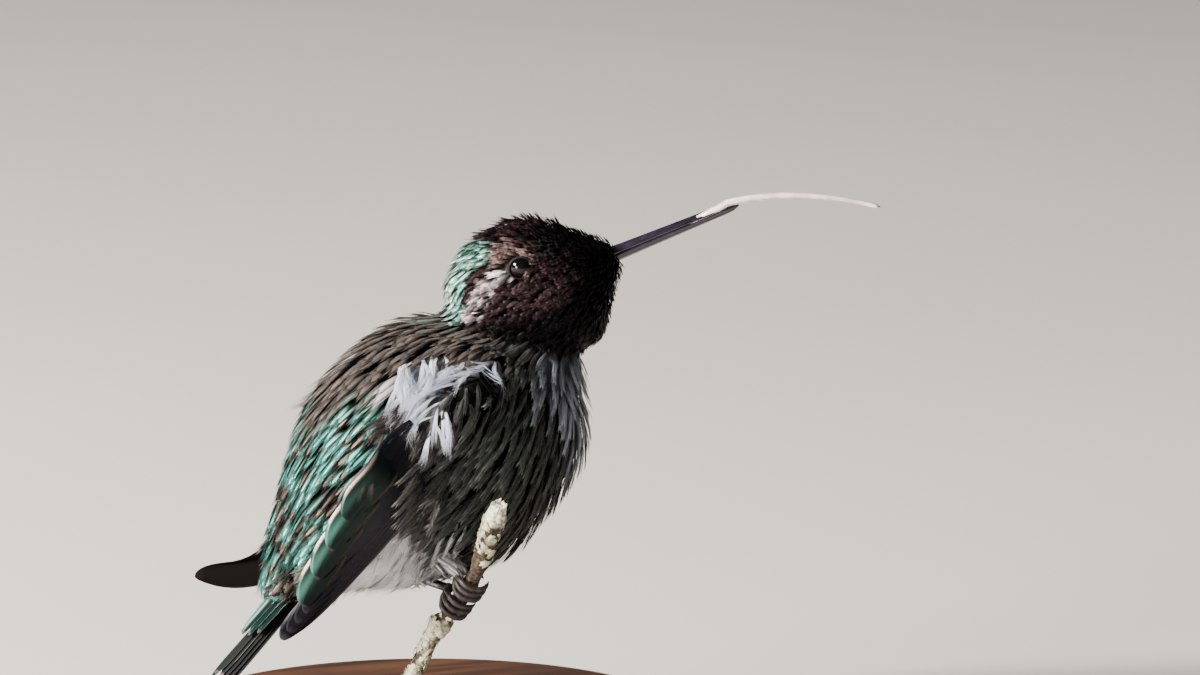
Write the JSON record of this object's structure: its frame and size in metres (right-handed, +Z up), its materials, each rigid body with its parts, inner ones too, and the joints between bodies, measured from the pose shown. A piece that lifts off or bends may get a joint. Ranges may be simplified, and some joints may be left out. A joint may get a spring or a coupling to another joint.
{
  "type": "hummingbird",
  "caption": "Life-size male Anna's hummingbird perched on a twig with its tongue out, head turned to its right, on a plain round stand.",
  "frame": {"origin": "middle of the model's bounding box at the underside of the stand's base", "axes": "+X the way the bird's body faces, +Y its left side, +Z up"},
  "size_m": [0.0846, 0.068, 0.0679],
  "materials": {
    "gorget_rose": "iridescent feathers",
    "back_green": "iridescent feathers",
    "wing_black": "satin flight feathers",
    "thigh_white": "downy",
    "foot_black": "scaly",
    "eye_black": "wet gloss",
    "bill_black": "horn, semi-gloss",
    "tongue_pink": "moist",
    "lichen_bark": "bark with lichen",
    "oiled_wood": "oiled",
    "brass_rod": "satin"
  },
  "bodies": {
    "root": {"head": "gorget_rose", "neck": "gorget_rose", "trunk": "back_green", "wing_right": "wing_black", "wing_left": "wing_black", "tail": "wing_black", "leg_right": "thigh_white", "leg_left": "thigh_white", "foot_right": "foot_black", "foot_left": "foot_black", "eye_right": "eye_black", "eye_left": "eye_black", "bill_upper": "bill_black", "bill_lower": "bill_black", "tongue": "tongue_pink", "perch_twig": "lichen_bark", "stand_base": "oiled_wood", "stand_rod": "brass_rod"}
  },
  "joints": []
}
